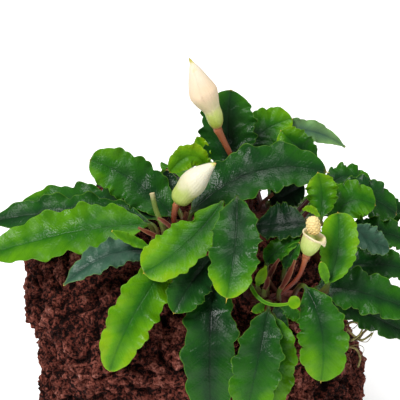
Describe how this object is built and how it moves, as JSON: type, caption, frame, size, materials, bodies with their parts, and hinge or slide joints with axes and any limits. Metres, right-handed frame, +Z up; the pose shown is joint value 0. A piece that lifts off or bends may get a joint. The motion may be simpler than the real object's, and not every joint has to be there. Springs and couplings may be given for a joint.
{
  "type": "bucephalandra on stone",
  "caption": "Creeping water plant with ruffled leaves and pale spathe flowers, rooted over the top of a porous red lava stone that stands on its flat foot.",
  "frame": {"origin": "middle of the stone's flat foot, on the plane that it rests on", "axes": "+Z up; +X along the stone's long side, to the viewer's right; -Y is the front, over which the long leaves hang"},
  "size_m": [0.122, 0.1014, 0.1177],
  "materials": {
    "stone": "rough porous red-brown lava",
    "leaf_dark": "deep green waxy leaf, satin to glossy",
    "leaf_bright": "fresh green waxy leaf, satin",
    "leaf_grey": "grey-green leaf, matt sheen",
    "stem": "brown-red rhizome and leaf stems, satin",
    "stalk": "red-brown flower stalk, satin",
    "spathe": "cream to peach petal, soft sheen",
    "kettle": "yellow-green lower flower, soft sheen",
    "spadix": "cream pollen club, matt and grainy",
    "root": "thin roots, yellow-green to brown, matt"
  },
  "bodies": {
    "root": {"stone": "stone", "rhizome_left": "stem", "rhizome_back": "stem", "rhizome_front": "stem", "leaf_left_long": "leaf_bright", "leaf_left_middle": "leaf_dark", "leaf_left_back": "leaf_dark", "leaf_back_round": "leaf_dark", "leaf_back_dark": "leaf_dark", "leaf_underside": "leaf_bright", "leaf_centre_wide": "leaf_dark", "leaf_front_oval": "leaf_bright", "leaf_front_low": "leaf_bright", "leaf_front_glossy": "leaf_dark", "leaf_grey_left": "leaf_grey", "leaf_young_left": "leaf_bright", "leaf_cut_stem": "leaf_bright", "leaf_centre_front": "leaf_dark", "leaf_top_broad": "leaf_dark", "leaf_top_right": "leaf_bright", "leaf_folded_right": "leaf_grey", "leaf_behind_wide": "leaf_dark", "leaf_shaded": "leaf_dark", "leaf_near_black": "leaf_dark", "leaf_right_wavy": "leaf_bright", "leaf_right_upright": "leaf_bright", "leaf_right_dark": "leaf_dark", "leaf_far_right": "leaf_dark", "leaf_right_light": "leaf_bright", "leaf_right_arched": "leaf_dark", "leaf_right_ribbed": "leaf_grey", "leaf_right_round": "leaf_bright", "leaf_right_upper": "leaf_dark", "leaf_right_long": "leaf_dark", "leaf_right_low": "leaf_dark", "leaf_front_right": "leaf_bright", "leaf_front_long": "leaf_dark", "leaf_front_hanging": "leaf_dark", "leaf_front_behind": "leaf_bright", "leaf_under_black": "leaf_bright", "leaf_young_spear": "leaf_bright", "leaf_curled": "leaf_bright", "leaf_rear_left": "leaf_dark", "leaf_rear_middle": "leaf_bright", "leaf_rear_high": "leaf_dark", "leaf_rear_low": "leaf_bright", "leaf_rear_right": "leaf_dark", "stalk_tall": "stalk", "stalk_white": "stalk", "stalk_open": "stalk", "flower_tall": "spathe", "flower_white": "spathe", "flower_open": "kettle", "spadix": "spadix", "root_dark": "root", "root_green": "root", "root_loop": "root", "root_low": "root"}
  },
  "joints": []
}
